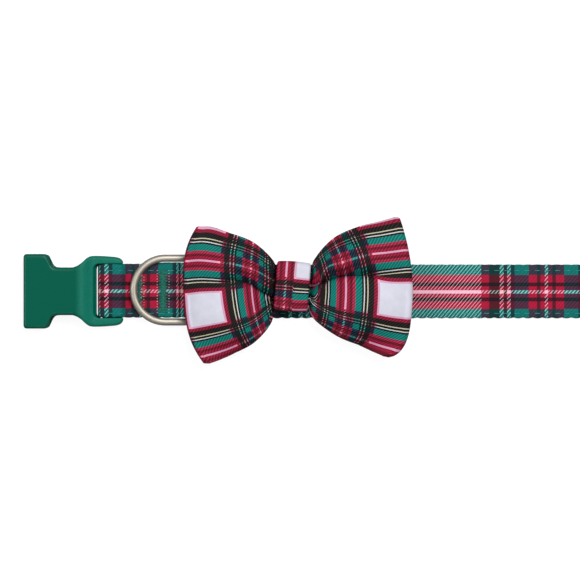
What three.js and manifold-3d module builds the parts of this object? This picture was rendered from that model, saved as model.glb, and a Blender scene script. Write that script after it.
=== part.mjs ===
// A dog collar laid out flat and unfastened: a woven strap folded round the bars of a side-release
// buckle's two halves, a steel D-ring held between the strap's layers, and a fabric bow with its knot.
// Millimetres. +X runs along the strap from the socket to the plug, +Y across it, +Z up from its back.
// The origin is on the back of the strap, under the middle of the knot.
import * as THREE from "three";
import { mergeVertices } from "three/addons/utils/BufferGeometryUtils.js";
import Module from "manifold-3d";

const wasm = await Module();
wasm.setup();

// A table's rows as objects with named columns.
function rowsOf(columns, rows) {
  return rows.map((row) => Object.fromEntries(columns.map((column, i) => [column, row[i]])));
}

// Clearances
const LAYER_GAP = 0.2; // between two sewn layers of webbing
const SEAT_GAP = 0.25; // round a bar or ring that the webbing holds
const PIECE_GAP = 0.3; // between pieces that rest on each other
const OVERCUT = 1; // how far a cut or a joined piece runs past the face that it meets

// Webbing
const WEBBING_WIDTH = 20;
const WEBBING_THICKNESS = 1.7;
const RAMP_STEPS = 6; // straight pieces in each bend of the strap
const FOLD_STEPS = 10; // straight pieces in the turn round a bar

// Where things sit along the strap
const SOCKET_MOUTH_X = -100.6;
const RING_BAR_X = -38.1;
const SOCKET_TAIL_X = -22; // cut end of the layer that is folded back from the socket
const PLUG_TAIL_X = 199; // cut end of the layer that is folded back from the plug
const PLUG_FRAME_X = 228; // strap end of the plug

// Bars that the strap turns round, and the ring's wire
const BAR_THICKNESS = 2.5;
const BAR_WIDTH = 7;
const BAR_HEIGHT = WEBBING_THICKNESS + SEAT_GAP + BAR_THICKNESS / 2; // mid-height of every bar
const SLOT_WIDTH = 3.2;
const SLOT_SIDE_GAP = 0.35; // slot's spare width beside the webbing
const SLOT_HALF = WEBBING_WIDTH / 2 + SLOT_SIDE_GAP;

// Socket half of the buckle: a row for each section along it, from its mouth
const BUCKLE_THICKNESS = 9;
const SECTION_COLUMNS = ["along", "halfWidth", "low", "high"];
const SOCKET_LENGTH = 37;
const SOCKET_SECTIONS = rowsOf(SECTION_COLUMNS, [
  [0, 13.2, 0.8, 8.2],
  [0.4, 13.85, 0.2, 8.8],
  [1.2, 14.1, 0, BUCKLE_THICKNESS],
  [8.6, 14.1, 0, BUCKLE_THICKNESS],
  [9.5, 13.6, 0, BUCKLE_THICKNESS],
  [10.4, 12.1, 0, BUCKLE_THICKNESS],
  [11.6, 9.9, 0, BUCKLE_THICKNESS],
  [12.6, 9.15, 0, BUCKLE_THICKNESS],
  [14, 9, 0, BUCKLE_THICKNESS],
  [18, 9, 0, BUCKLE_THICKNESS],
  [20, 9.45, 0, BUCKLE_THICKNESS],
  [21.8, 10.6, 0, 8.8],
  [23.4, 12.1, 0.1, 8.1],
  [25, 13.05, 0.2, 7.2],
  [26.6, 13.35, 0.3, 6.7],
  [34, 13.35, 0.3, 6.6],
  [35.6, 12.9, 0.4, 6.5],
  [36.6, 12.1, 0.7, 6.2],
  [SOCKET_LENGTH, 11.2, 1.2, 5.7],
]);
const CORNER_RADIUS = 1.3;
const CORNER_STEPS = 4;
const CAVITY = { depth: 20.5, halfWidth: 12.2, low: 1.7, high: 7.3 };

// Plug half of the buckle: a row for each section along it, from its strap end
const PLUG_BASE_LENGTH = 15.4;
const PLUG_SECTIONS = rowsOf(SECTION_COLUMNS, [
  [0, 11.2, 1.2, 5.7],
  [0.4, 12.1, 0.7, 6.2],
  [1.4, 12.9, 0.4, 6.5],
  [3, 13.35, 0.3, 6.6],
  [10.4, 13.35, 0.3, 6.7],
  [12.6, 13.8, 0.1, 8.1],
  [14.6, 14.1, 0, BUCKLE_THICKNESS],
  [PLUG_BASE_LENGTH, 13.7, 0.4, 8.6],
]);
const PRONG = { length: 18, root: 8.4, rootWidth: 2.9, headStart: 9.6, headHalf: 13.5, tip: 9.4 };
const GUIDE = { length: 15.5, halfRoot: 3.3, halfTip: 2.7 };
const PRONG_THICKNESS = 4.4;

// D-ring
const RING_WIRE = BAR_THICKNESS;
const RING_HALF_HEIGHT = 12.1; // wire's middle line
const RING_ARM = 8.9; // from the bar to the start of the round end
const RING_CORNER = 2.1;
const RING_SHIFT_Y = 0.3;
const RING_TILT = THREE.MathUtils.degToRad(6.8); // it lies on the strap's two edges
const RING_STEPS = 72;
const RING_SIDES = 12;

// Bow: a band of doubled cloth in a flat loop, gathered in the middle. A row for each rib, from the knot
// out to the fold: both ends of the rib, how far its middle bulges outwards, then heights of the front's
// edges, ridges and middle fold, and of the back.
const CLOTH_THICKNESS = 1.2;
const BOW_FOLD_RADIUS = 1.5;
const BACK_INSET = 1.2; // back's edges lie this far inside the front's
const RIB_COLUMNS = ["topX", "topY", "lowX", "lowY", "bulge", "edge", "ridge", "fold", "back"];
const LEFT_WING = {
  foldAt: 0.54, // share of the rib's height where the middle fold runs
  skew: 1,
  fullness: 3,
  ribs: rowsOf(RIB_COLUMNS, [
    [-6.2, 9.5, -7.5, -5.5, 0, 7.6, 9.1, 7.7, 4.3],
    [-8.4, 13.2, -8.2, -12, -0.5, 7.2, 12, 7.8, 4.6],
    [-15.5, 18.8, -14, -18.9, -1.6, 7.8, 15.4, 10.4, 5],
    [-24.4, 22.1, -21.4, -23.1, -3, 8.6, 15.8, 13.8, 5.8],
    [-31.2, 23.9, -28, -25.7, -4.6, 9.2, 14, 13.6, 7.2],
    [-36.3, 24.8, -33.1, -27.1, -5.7, 10.4, 11.8, 11.8, 8.8],
  ]),
};
const RIGHT_WING = {
  foldAt: 0.6,
  skew: 0.7,
  fullness: 2.5,
  ribs: rowsOf(RIB_COLUMNS, [
    [7.9, 8.6, 6.6, -6.4, 0, 7.6, 9.1, 7.7, 4.3],
    [9.2, 13.2, 9, -11, 0.5, 7.2, 12, 7.8, 4.6],
    [16, 20.2, 17, -16.8, 1.6, 7.8, 15.4, 10.2, 5],
    [25, 24.2, 25.4, -20.4, 3.4, 8.6, 15.8, 13.4, 5.8],
    [33, 26, 31.6, -23, 5.4, 9.2, 14, 13.4, 7.2],
    [40.3, 27.7, 36.6, -24.7, 6.9, 10.4, 11.8, 11.8, 8.8],
  ]),
};
const FRONT_STEPS = 14;
const BACK_STEPS = 9;
const TURN_STEPS = 4;
const RIB_STEPS = 18;

// Knot: a band of cloth round the gathered middle of the bow
const KNOT_LENGTH = 12.7;
const KNOT_HALF_HEIGHT = 9.5;
const KNOT_MIDDLE_Y = 1.55;
const KNOT_TOP = 11.5;
const KNOT_TURN = THREE.MathUtils.degToRad(-4.4);
const KNOT_CORNER = 2.8;
const KNOT_CORNER_STEPS = 5;
const KNOT_STEPS = 6;
const KNOT_WAIST = 0.35; // its ends draw in by this much
const KNOT_BACK = WEBBING_THICKNESS + PIECE_GAP;

// Colours
const BUCKLE_GREEN = 0x015d49;
const NICKEL = 0xb9b6a8;
const STRAP_TARTAN = 0x4f2a3a;
const BOW_TARTAN = 0x7a2b40;

function solidOf(geometry) {
  const bare = new THREE.BufferGeometry();
  const flat = geometry.index ? geometry.toNonIndexed() : geometry;
  bare.setAttribute("position", flat.getAttribute("position"));
  const merged = mergeVertices(bare, 1e-4);
  return new wasm.Manifold(
    new wasm.Mesh({
      numProp: 3,
      vertProperties: merged.attributes.position.array,
      triVerts: new Uint32Array(merged.index.array),
    }),
  );
}

function geometryOf(solid) {
  const mesh = solid.getMesh();
  const geometry = new THREE.BufferGeometry();
  geometry.setAttribute("position", new THREE.BufferAttribute(mesh.vertProperties, 3));
  geometry.setIndex(new THREE.BufferAttribute(mesh.triVerts, 1));
  geometry.computeVertexNormals();
  return geometry;
}

function named(name, geometry, color, roughness, metalness) {
  const mesh = new THREE.Mesh(geometry, new THREE.MeshStandardMaterial({ color, roughness, metalness }));
  mesh.name = name;
  return mesh;
}

function boxBetween(low, high) {
  const size = high.map((value, axis) => value - low[axis]);
  const geometry = new THREE.BoxGeometry(...size);
  geometry.translate(...high.map((value, axis) => (value + low[axis]) / 2));
  return geometry;
}

const smooth = (t) => t * t * (3 - 2 * t);

// A shape drawn in the X-Z plane, given a thickness across Y about the middle of the strap.
function acrossStrap(shape, width, curveSegments = 8) {
  const geometry = new THREE.ExtrudeGeometry(shape, { depth: width, bevelEnabled: false, curveSegments });
  geometry.rotateX(Math.PI / 2);
  geometry.translate(0, width / 2, 0);
  return geometry;
}

// A closed solid through rings of points that all have the same count, with a flat face at each end.
function loft(rings) {
  const count = rings[0].length;
  const index = [];
  for (let r = 0; r + 1 < rings.length; r++) {
    for (let i = 0; i < count; i++) {
      const a = r * count + i;
      const b = r * count + ((i + 1) % count);
      index.push(a, b, b + count, a, b + count, a + count);
    }
  }
  const last = (rings.length - 1) * count;
  for (let i = 1; i + 1 < count; i++) {
    index.push(0, i + 1, i, last, last + i, last + i + 1);
  }
  const geometry = new THREE.BufferGeometry().setFromPoints(rings.flat());
  geometry.setIndex(index);
  return geometry;
}

// A closed solid between two grids of points, each closed round its first direction: a band in a loop.
function bandLoop(outer, inner) {
  const around = outer.length;
  const across = outer[0].length;
  const index = [];
  const at = (layer, i, j) => (layer * around + (i % around)) * across + j;
  const quad = (a, b, c, d) => index.push(a, b, c, a, c, d);
  for (let i = 0; i < around; i++) {
    for (let j = 0; j + 1 < across; j++) {
      quad(at(0, i, j), at(0, i + 1, j), at(0, i + 1, j + 1), at(0, i, j + 1));
      quad(at(1, i, j), at(1, i, j + 1), at(1, i + 1, j + 1), at(1, i + 1, j));
    }
    quad(at(0, i + 1, 0), at(0, i, 0), at(1, i, 0), at(1, i + 1, 0));
    const end = across - 1;
    quad(at(0, i, end), at(0, i + 1, end), at(1, i + 1, end), at(1, i, end));
  }
  const geometry = new THREE.BufferGeometry().setFromPoints([...outer.flat(), ...inner.flat()]);
  geometry.setIndex(index);
  return geometry;
}

// A rounded rectangle in the Y-Z plane at x, as a ring of points.
function roundedRing(x, middleY, halfWidth, low, high, radius, steps) {
  const ring = [];
  const corners = [
    [1, low, -1],
    [1, high, 1],
    [-1, high, 1],
    [-1, low, -1],
  ];
  corners.forEach(([sideY, edgeZ, sideZ], corner) => {
    for (let i = 0; i <= steps; i++) {
      const angle = ((corner - 1 + i / steps) * Math.PI) / 2;
      const y = middleY + sideY * (halfWidth - radius) + radius * Math.cos(angle);
      const z = edgeZ - sideZ * radius + radius * Math.sin(angle);
      ring.push(new THREE.Vector3(x, y, z));
    }
  });
  return ring;
}

function sectionLoft(sections, startX) {
  return loft(
    sections.map(({ along, halfWidth, low, high }) =>
      roundedRing(startX + along, 0, halfWidth, low, high, CORNER_RADIUS, CORNER_STEPS),
    ),
  );
}

// A flat bar with round edges, from x to x + BAR_WIDTH, reaching into the arms beside the slot.
function strapBar(x) {
  const radius = BAR_THICKNESS / 2;
  const outline = new THREE.Shape();
  outline.absarc(x + radius, BAR_HEIGHT, radius, Math.PI / 2, (3 * Math.PI) / 2);
  outline.absarc(x + BAR_WIDTH - radius, BAR_HEIGHT, radius, -Math.PI / 2, Math.PI / 2);
  return solidOf(acrossStrap(outline, 2 * SLOT_HALF + 2 * OVERCUT));
}

// The room between a frame's two arms, open above and below.
function slotOpening(startX, endX) {
  return boxBetween([startX, -SLOT_HALF, -OVERCUT], [endX, SLOT_HALF, BUCKLE_THICKNESS + OVERCUT]);
}

function buckleSocket() {
  const endX = SOCKET_MOUTH_X + SOCKET_LENGTH;
  const barX = endX - BAR_WIDTH;
  const body = solidOf(sectionLoft(SOCKET_SECTIONS, SOCKET_MOUTH_X));
  const cavity = boxBetween(
    [SOCKET_MOUTH_X - OVERCUT, -CAVITY.halfWidth, CAVITY.low],
    [SOCKET_MOUTH_X + CAVITY.depth, CAVITY.halfWidth, CAVITY.high],
  );
  const opening = slotOpening(barX - SLOT_WIDTH, endX + OVERCUT);
  return geometryOf(body.subtract(solidOf(cavity)).subtract(solidOf(opening)).add(strapBar(barX)));
}

function sideProng(side) {
  const startX = PLUG_FRAME_X + PLUG_BASE_LENGTH - OVERCUT;
  const outline = new THREE.Shape();
  const { length, root, rootWidth, headStart, headHalf, tip } = PRONG;
  outline.moveTo(startX, side * root);
  outline.lineTo(startX + length - 1, side * (root + 0.3));
  outline.quadraticCurveTo(startX + length, side * (root + 0.4), startX + length, side * tip);
  outline.quadraticCurveTo(startX + length - 4, side * headHalf, startX + headStart + 2, side * headHalf);
  outline.lineTo(startX + headStart, side * (headHalf - 0.4));
  outline.lineTo(startX + headStart - 0.6, side * (root + rootWidth));
  outline.lineTo(startX, side * (root + rootWidth));
  return outline;
}

function plugGuide() {
  const startX = PLUG_FRAME_X + PLUG_BASE_LENGTH - OVERCUT;
  const outline = new THREE.Shape();
  outline.moveTo(startX, -GUIDE.halfRoot);
  outline.lineTo(startX + GUIDE.length - GUIDE.halfTip, -GUIDE.halfTip);
  outline.absarc(startX + GUIDE.length - GUIDE.halfTip, 0, GUIDE.halfTip, -Math.PI / 2, Math.PI / 2);
  outline.lineTo(startX, GUIDE.halfRoot);
  return outline;
}

function bucklePlug() {
  const slotX = PLUG_FRAME_X + BAR_WIDTH;
  const base = solidOf(sectionLoft(PLUG_SECTIONS, PLUG_FRAME_X));
  const opening = slotOpening(PLUG_FRAME_X - OVERCUT, slotX + SLOT_WIDTH);
  const middleZ = (CAVITY.low + CAVITY.high) / 2;
  let plug = base.subtract(solidOf(opening)).add(strapBar(PLUG_FRAME_X));
  for (const outline of [sideProng(1), sideProng(-1), plugGuide()]) {
    const prong = new THREE.ExtrudeGeometry(outline, {
      depth: PRONG_THICKNESS,
      bevelEnabled: false,
      curveSegments: 6,
    });
    prong.translate(0, 0, middleZ - PRONG_THICKNESS / 2);
    plug = plug.add(solidOf(prong));
  }
  return geometryOf(plug);
}

// The middle line of the whole strap in the X-Z plane, from one cut end to the other.
function strapLine() {
  const single = WEBBING_THICKNESS / 2;
  const doubled = single + WEBBING_THICKNESS + LAYER_GAP;
  const overBar = 2 * BAR_HEIGHT - single;
  const turn = BAR_HEIGHT - single;
  const socketTurnX = SOCKET_MOUTH_X + SOCKET_LENGTH - BAR_WIDTH + BAR_THICKNESS / 2;
  const plugTurnX = PLUG_FRAME_X + BAR_WIDTH - BAR_THICKNESS / 2;
  // A row for each level stretch of the upper layer
  const levels = [
    { from: socketTurnX, to: SOCKET_MOUTH_X + SOCKET_LENGTH - 0.6, height: overBar },
    { from: SOCKET_MOUTH_X + SOCKET_LENGTH + 3, to: RING_BAR_X - 4.5, height: doubled },
    { from: RING_BAR_X - 0.9, to: RING_BAR_X + 0.9, height: overBar },
    { from: RING_BAR_X + 4.5, to: SOCKET_TAIL_X + 1.5, height: doubled },
    { from: SOCKET_TAIL_X + 10, to: PLUG_TAIL_X - 10, height: single },
    { from: PLUG_TAIL_X - 1.5, to: PLUG_FRAME_X - 3, height: doubled },
    { from: PLUG_FRAME_X + 0.6, to: plugTurnX, height: overBar },
  ];
  const line = [new THREE.Vector2(SOCKET_TAIL_X, single)];
  const addTurn = (x, startAngle) => {
    for (let i = 0; i <= FOLD_STEPS; i++) {
      const angle = startAngle - (Math.PI * i) / FOLD_STEPS;
      line.push(new THREE.Vector2(x + turn * Math.cos(angle), BAR_HEIGHT + turn * Math.sin(angle)));
    }
  };
  addTurn(socketTurnX, -Math.PI / 2);
  levels.forEach((level, i) => {
    const next = levels[i + 1];
    line.push(new THREE.Vector2(level.to, level.height));
    for (let k = 1; next && k <= RAMP_STEPS; k++) {
      const t = k / RAMP_STEPS;
      const x = level.to + (next.from - level.to) * t;
      line.push(new THREE.Vector2(x, level.height + (next.height - level.height) * smooth(t)));
    }
  });
  line.pop();
  addTurn(plugTurnX, Math.PI / 2);
  line.push(new THREE.Vector2(PLUG_TAIL_X, single));
  return line;
}

// The strap's outline is its middle line moved half a thickness to each side.
function strap() {
  const line = strapLine();
  const sides = [[], []];
  line.forEach((point, i) => {
    const before = line[Math.max(i - 1, 0)];
    const after = line[Math.min(i + 1, line.length - 1)];
    const along = after.clone().sub(before).normalize();
    const out = new THREE.Vector2(-along.y, along.x).multiplyScalar(WEBBING_THICKNESS / 2);
    sides[0].push(point.clone().add(out));
    sides[1].push(point.clone().sub(out));
  });
  return acrossStrap(new THREE.Shape([...sides[0], ...sides[1].reverse()]), WEBBING_WIDTH);
}

// The ring's middle line is a D, drawn from its bar towards the socket, then tilted about the bar.
function dRing() {
  const half = RING_HALF_HEIGHT;
  const outline = new THREE.Path();
  outline.moveTo(0, 0);
  outline.lineTo(0, half - RING_CORNER);
  outline.absarc(RING_CORNER, half - RING_CORNER, RING_CORNER, Math.PI, Math.PI / 2, true);
  outline.lineTo(RING_ARM, half);
  outline.absarc(RING_ARM, 0, half, Math.PI / 2, -Math.PI / 2, true);
  outline.lineTo(RING_CORNER, -half);
  outline.absarc(RING_CORNER, RING_CORNER - half, RING_CORNER, -Math.PI / 2, -Math.PI, true);
  outline.lineTo(0, 0);
  const points = outline
    .getSpacedPoints(RING_STEPS)
    .slice(0, -1)
    .map(
      ({ x, y }) =>
        new THREE.Vector3(
          RING_BAR_X - x * Math.cos(RING_TILT),
          y + RING_SHIFT_Y,
          BAR_HEIGHT + x * Math.sin(RING_TILT),
        ),
    );
  const path = new THREE.CatmullRomCurve3(points, true);
  return new THREE.TubeGeometry(path, RING_STEPS, RING_WIRE / 2, RING_SIDES, true);
}

// A rib between the rows of a wing, at share u of the way out, each column on a smooth curve.
function ribAt(wing, u) {
  const place = u * (wing.ribs.length - 1);
  const i = Math.min(Math.floor(place), wing.ribs.length - 2);
  const row = (k) => wing.ribs[THREE.MathUtils.clamp(k, 0, wing.ribs.length - 1)];
  const t = place - i;
  const rib = {};
  for (const column of Object.keys(wing.ribs[0])) {
    const [a, b, c, d] = [row(i - 1), row(i), row(i + 1), row(i + 2)].map((r) => r[column]);
    const slopeB = (c - a) / 2;
    const slopeC = (d - b) / 2;
    const square = 3 * (c - b) - 2 * slopeB - slopeC;
    const cube = slopeB + slopeC - 2 * (c - b);
    rib[column] = b + slopeB * t + square * t * t + cube * t * t * t;
  }
  return rib;
}

// A point of the wing's front, at share v of the way up a rib: two lobes with the middle fold between.
function frontPoint(wing, u, v) {
  const rib = ribAt(wing, u);
  const lobe = v < wing.foldAt ? v / wing.foldAt : (1 - v) / (1 - wing.foldAt);
  const swell = rib.ridge - (rib.edge + rib.fold) / 2;
  return new THREE.Vector3(
    ribX(wing, rib, v),
    THREE.MathUtils.lerp(rib.lowY, rib.topY, v),
    THREE.MathUtils.lerp(rib.edge, rib.fold, lobe) + swell * Math.sin(Math.PI * lobe),
  );
}

function backPoint(wing, u, v) {
  const rib = ribAt(wing, u);
  const inset = BACK_INSET * (1 - u);
  return new THREE.Vector3(
    ribX(wing, rib, v),
    THREE.MathUtils.lerp(rib.lowY + inset, rib.topY - inset, v),
    rib.back,
  );
}

function ribX(wing, rib, v) {
  const across = Math.abs(2 * Math.pow(v, wing.skew) - 1);
  return THREE.MathUtils.lerp(rib.lowX, rib.topX, v) + rib.bulge * (1 - Math.pow(across, wing.fullness));
}

// The rounded turn between front and back at the wing's outer edge.
function turnPoint(wing, side, share, v) {
  const front = frontPoint(wing, 1, v);
  const back = backPoint(wing, 1, v);
  const angle = Math.PI * (0.5 - share);
  const middle = (front.z + back.z) / 2;
  return new THREE.Vector3(
    front.x + side * BOW_FOLD_RADIUS * (Math.cos(angle) - 1),
    THREE.MathUtils.lerp(front.y, back.y, share),
    middle + ((front.z - back.z) / 2) * Math.sin(angle),
  );
}

function wingColumns(wing, side) {
  const rows = [];
  const ribOf = (point) => Array.from({ length: RIB_STEPS + 1 }, (_, j) => point(j / RIB_STEPS));
  const pull = (point, u) => point.setX(point.x - side * BOW_FOLD_RADIUS * u * u * u * u);
  for (let i = 0; i < FRONT_STEPS; i++) {
    const u = i / FRONT_STEPS;
    rows.push(ribOf((v) => pull(frontPoint(wing, u, v), u)));
  }
  for (let i = 0; i <= TURN_STEPS; i++) {
    rows.push(ribOf((v) => turnPoint(wing, side, i / TURN_STEPS, v)));
  }
  for (let i = BACK_STEPS - 1; i >= 0; i--) {
    const u = i / BACK_STEPS;
    rows.push(ribOf((v) => pull(backPoint(wing, u, v), u)));
  }
  return rows;
}

// The band's middle surface goes round both wings; its two faces lie half a thickness to each side.
function bowLoops() {
  const middle = [...wingColumns(RIGHT_WING, 1), ...wingColumns(LEFT_WING, -1).reverse()];
  const around = middle.length;
  const face = (offset) =>
    middle.map((rib, i) =>
      rib.map((point, j) => {
        const along = middle[(i + 1) % around][j].clone().sub(middle[(i + around - 1) % around][j]);
        const up = rib[Math.min(j + 1, RIB_STEPS)].clone().sub(rib[Math.max(j - 1, 0)]);
        return point.clone().addScaledVector(along.cross(up).normalize(), offset);
      }),
    );
  return bandLoop(face(CLOTH_THICKNESS / 2), face(-CLOTH_THICKNESS / 2));
}

function bowKnot() {
  const face = (inset) => {
    const stations = Array.from({ length: KNOT_STEPS + 1 }, (_, k) => {
      const along = (2 * k) / KNOT_STEPS - 1;
      const draw = inset + KNOT_WAIST * along * along;
      return roundedRing(
        (along * KNOT_LENGTH) / 2,
        KNOT_MIDDLE_Y,
        KNOT_HALF_HEIGHT - draw,
        KNOT_BACK + inset,
        KNOT_TOP - draw,
        KNOT_CORNER - inset,
        KNOT_CORNER_STEPS,
      );
    });
    return stations[0].map((_, i) => stations.map((ring) => ring[i]));
  };
  return bandLoop(face(0), face(CLOTH_THICKNESS));
}

const collar = new THREE.Group();
collar.add(named("buckle_socket", buckleSocket(), BUCKLE_GREEN, 0.42, 0));
collar.add(named("buckle_plug", bucklePlug(), BUCKLE_GREEN, 0.42, 0));
collar.add(named("strap", strap(), STRAP_TARTAN, 0.8, 0));
collar.add(named("d_ring", dRing(), NICKEL, 0.28, 1));
collar.add(named("bow_loops", bowLoops(), BOW_TARTAN, 0.7, 0));
const knot = named("bow_knot", bowKnot(), BOW_TARTAN, 0.7, 0);
knot.rotation.z = KNOT_TURN;
collar.add(knot);

export default collar;
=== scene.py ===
import math

import bpy
import numpy as np
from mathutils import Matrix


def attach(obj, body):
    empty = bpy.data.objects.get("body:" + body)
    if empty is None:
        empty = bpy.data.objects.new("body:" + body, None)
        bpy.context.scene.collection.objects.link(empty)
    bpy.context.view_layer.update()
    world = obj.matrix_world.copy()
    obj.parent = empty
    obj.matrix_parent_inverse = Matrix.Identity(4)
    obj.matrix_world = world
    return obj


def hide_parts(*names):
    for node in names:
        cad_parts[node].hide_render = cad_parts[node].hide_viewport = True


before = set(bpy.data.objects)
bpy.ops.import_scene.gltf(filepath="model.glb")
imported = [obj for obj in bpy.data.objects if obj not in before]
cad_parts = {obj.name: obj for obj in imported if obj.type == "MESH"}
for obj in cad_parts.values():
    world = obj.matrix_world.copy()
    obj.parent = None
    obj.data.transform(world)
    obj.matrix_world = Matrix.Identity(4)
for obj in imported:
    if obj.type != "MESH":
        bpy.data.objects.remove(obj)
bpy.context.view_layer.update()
scene = bpy.context.scene
mm = 0.001
print("frame loaded:", sorted(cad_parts))


# sRGB hex to linear light: each channel through the sRGB curve.
def linear(hexColour):
    channel = np.array([int(hexColour[i:i + 2], 16) for i in (1, 3, 5)]) / 255
    light = np.where(channel <= 0.04045, channel / 12.92, ((channel + 0.055) / 1.055) ** 2.4)
    return (*light.tolist(), 1.0)


# Sets a node's inputs, by name or number, to values, sockets, or nodes whose first live output feeds them.
def setInputs(tree, node, inputs):
    for name, value in inputs.items():
        if isinstance(value, bpy.types.Node):
            value = next(output for output in value.outputs if output.enabled)
        if isinstance(value, bpy.types.NodeSocket):
            tree.links.new(value, node.inputs[name])
        else:
            node.inputs[name].default_value = value


# Adds one shader node with its properties and inputs.
def addNode(tree, kind, inputs=None, **properties):
    node = tree.nodes.new("ShaderNode" + kind)
    for name, value in properties.items():
        setattr(node, name, value)
    setInputs(tree, node, inputs or {})
    return node


# A new material with constants set on its shader's sockets.
def newMaterial(name, constants):
    material = bpy.data.materials.new(name)
    material.use_nodes = True
    tree = material.node_tree
    shader = tree.nodes["Principled BSDF"]
    setInputs(tree, shader, constants)
    return material, tree, shader


# Puts a mesh, camera or light into the scene, at the origin.
def addObject(name, data):
    made = bpy.data.objects.new(name, data)
    scene.collection.objects.link(made)
    return made


# Quads over a grid of points in mm, rows by columns, or over several such grids. A closed direction joins its
# last line to its first, and its uv grid, in mm of cloth, has one line more. Capped rows get a flat face at
# both ends.
def gridObject(name, points, uv=None, closeRows=False, closeColumns=False, capRows=False, scale=mm):
    rows, columns = points.shape[-3:-1]
    flat = points.reshape(-1, 3)
    starts = np.arange(0, len(flat), rows * columns)
    i, j = np.meshgrid(np.arange(rows - 1 + closeRows), np.arange(columns - 1 + closeColumns), indexing="ij")
    corners = [(i, j), (i + 1, j), (i + 1, j + 1), (i, j + 1)]
    quads = np.stack([(a % rows) * columns + b % columns for a, b in corners], axis=-1).reshape(-1, 4)
    faces = (starts[:, None, None] + quads).reshape(-1, 4)
    first, second, third, fourth = (flat[faces[:, k]] - flat.mean(axis=0) for k in range(4))
    volume = np.sum(np.cross(first - third, second - fourth) * (first + second + third + fourth))
    polygons = faces.tolist()
    if capRows:
        for end in (np.arange(columns), rows * columns - 1 - np.arange(columns)):
            polygons += (starts[:, None] + end).tolist()
    mesh = bpy.data.meshes.new(name)
    mesh.from_pydata(flat * scale, [], polygons)
    if uv is not None:
        corner = np.stack([uv[a, b] for a, b in corners], axis=2).reshape(-1)
        cloth = np.zeros(2 * len(mesh.loops))
        cloth[:len(corner)] = corner
        mesh.uv_layers.new(name="cloth").data.foreach_set("uv", cloth)
    mesh.polygons.foreach_set("use_smooth", np.ones(len(mesh.polygons), dtype=bool))
    if volume < 0:
        mesh.flip_normals()
    mesh.update()
    return addObject(name, mesh)


# Vectors of length 1 in the same directions.
def unit(vectors):
    return vectors / np.linalg.norm(vectors, axis=-1, keepdims=True)


# Distance run along a path, from its first point to each of them.
def runAlong(path):
    return np.concatenate([[0], np.cumsum(np.linalg.norm(np.diff(path, axis=0), axis=1))])


# A bell: 1 at no distance, falling off over the reach, with a flatter top the higher its power.
def bell(distance, reach, power=2):
    return np.exp(-(distance / reach) ** power)


# A smooth rise from 0 to 1, level at both ends.
def smoothStep(share):
    return share ** 2 * (3 - 2 * share)


# Rows between a table's rows: every column follows a cubic, with its slopes from the neighbouring rows.
def smoothRows(rows, share):
    rows = np.asarray(rows, dtype=float)
    place = np.clip(share, 0, 1) * (len(rows) - 1)
    i = np.minimum(place.astype(int), len(rows) - 2)
    t = (place - i)[:, None]
    a, b, c, d = (rows[np.clip(i + k, 0, len(rows) - 1)] for k in (-1, 0, 1, 2))
    slopeB, slopeC = (c - a) / 2, (d - b) / 2
    square = 3 * (c - b) - 2 * slopeB - slopeC
    cube = slopeB + slopeC - 2 * (c - b)
    return b + slopeB * t + square * t ** 2 + cube * t ** 3


# The same path with evenly spaced points: distance run along it, read off at equal steps.
def evenPath(path, count, closed=False):
    if closed:
        path = np.concatenate([path, path[:1]])
    run = runAlong(path)
    at = np.linspace(0, run[-1], count + closed)[:count]
    return np.stack([np.interp(at, run, column) for column in path.T], axis=1)


# A round thread or wire: circles about a path, in the plane across it, with one side kept towards up.
def tubePoints(path, radius, sides, up=(0, 0, 1), closed=False):
    along = np.roll(path, -1, axis=0) - np.roll(path, 1, axis=0) if closed else np.gradient(path, axis=0)
    along = unit(along)
    side = unit(np.cross(along, up))
    top = np.cross(side, along)
    angle = np.linspace(0, 2 * math.pi, sides, endpoint=False)[None, :, None]
    radius = np.broadcast_to(radius, len(path))[:, None, None]
    return path[:, None] + radius * (np.cos(angle) * side[:, None] + np.sin(angle) * top[:, None])


# Gives a piece its material and body, and hides the CAD nodes that it stands in for.
def finishPiece(piece, body, slot, material, *nodes):
    piece.data.materials.clear()
    piece.data.materials.append(material)
    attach(piece, body)
    if nodes:
        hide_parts(*nodes)
    return piece


# Camera straight above, where the photo's frame of 580 pixels spans 216.8 mm of the strap.
view = {
    "pixels": 580, "pixelsPerMm": 2.675, "centre": (-0.75, 0.48),  # centre in mm
    "distance": 4.0, "sensor": 36.0, "clip": 20.0,
}
cameraData = bpy.data.cameras.new("overheadCamera")
cameraData.sensor_width = view["sensor"]
cameraData.lens = view["sensor"] * view["distance"] / (view["pixels"] / view["pixelsPerMm"] * mm)
cameraData.clip_end = view["clip"]
camera = addObject("overheadCamera", cameraData)
camera.location = (view["centre"][0] * mm, view["centre"][1] * mm, view["distance"])
scene.camera = camera

# Studio: a surround that is bright at the sides, dark straight overhead and dim low on the near side, with a
# large soft box high on the far side and two weak ones.
studio = {
    "sides": 0.42,
    "overhead": 0.03,
    "darkFrom": 0.86,  # upward part of a direction where the dark patch overhead begins and is full
    "darkTo": 0.985,
    "near": 0.2,  # share of the glow on the near side
    "nearFrom": -0.65,  # far part of a direction where the near side is dimmest and where that ends
    "nearTo": -0.35,
    "lights": [  # name, place in m, size in m, power in W
        ("farSoftBox", (0.75, 1.1, 2.2), 1.2, 50.0),
        ("nearSoftBox", (0.4, -1.4, 2.0), 1.2, 8.0),
        ("leftSoftBox", (-1.6, 0.1, 1.4), 0.9, 13.0),
    ],
}
world = bpy.data.worlds.new("studioSurround")
world.use_nodes = True
worldTree = world.node_tree
surround = worldTree.nodes["Background"]
direction = addNode(worldTree, "TexCoord").outputs["Generated"]
towards = addNode(worldTree, "SeparateXYZ", {0: direction}).outputs
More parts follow.
